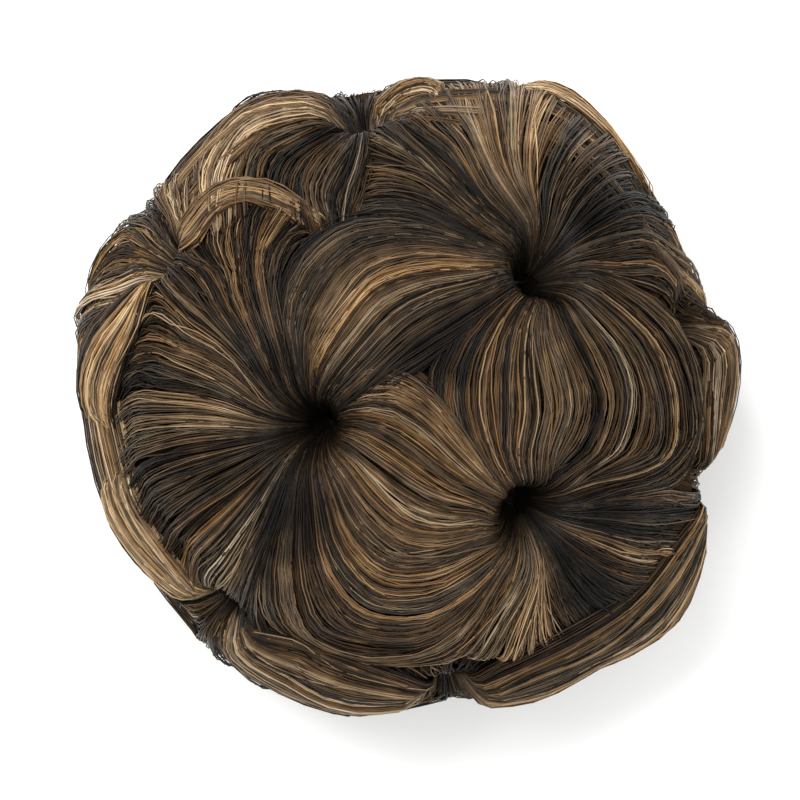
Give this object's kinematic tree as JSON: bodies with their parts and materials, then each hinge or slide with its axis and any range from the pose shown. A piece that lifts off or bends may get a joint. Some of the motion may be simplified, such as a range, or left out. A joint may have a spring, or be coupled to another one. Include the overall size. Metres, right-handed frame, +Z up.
{
  "type": "top knot hairpiece",
  "caption": "Wig top knot: rolled curls of streaked brown hair sewn round a hollow net cap, with an elastic rim and a side comb, that sits over the wearer's own bun",
  "frame": {"origin": "centre of the underside of the box round the whole piece, on the surface that it stands on", "axes": "+Z up through the crown, +X to the right and +Y to the back as the picture shows it from above"},
  "size_m": [0.15, 0.1442, 0.0878],
  "materials": {
    "hair": "satin fibre, dark brown with caramel and blond streaks",
    "net": "matt knitted net",
    "elastic": "matt woven elastic",
    "comb_plastic": "smooth moulded plastic"
  },
  "bodies": {
    "root": {"curl_top_right": "hair", "curl_top_left": "hair", "curl_top_front": "hair", "curl_back": "hair", "curl_back_left": "hair", "curl_front_left": "hair", "curl_front": "hair", "curl_front_right": "hair", "curl_right": "hair", "net_cap": "net", "rim_band": "elastic", "side_comb": "comb_plastic"}
  },
  "joints": []
}
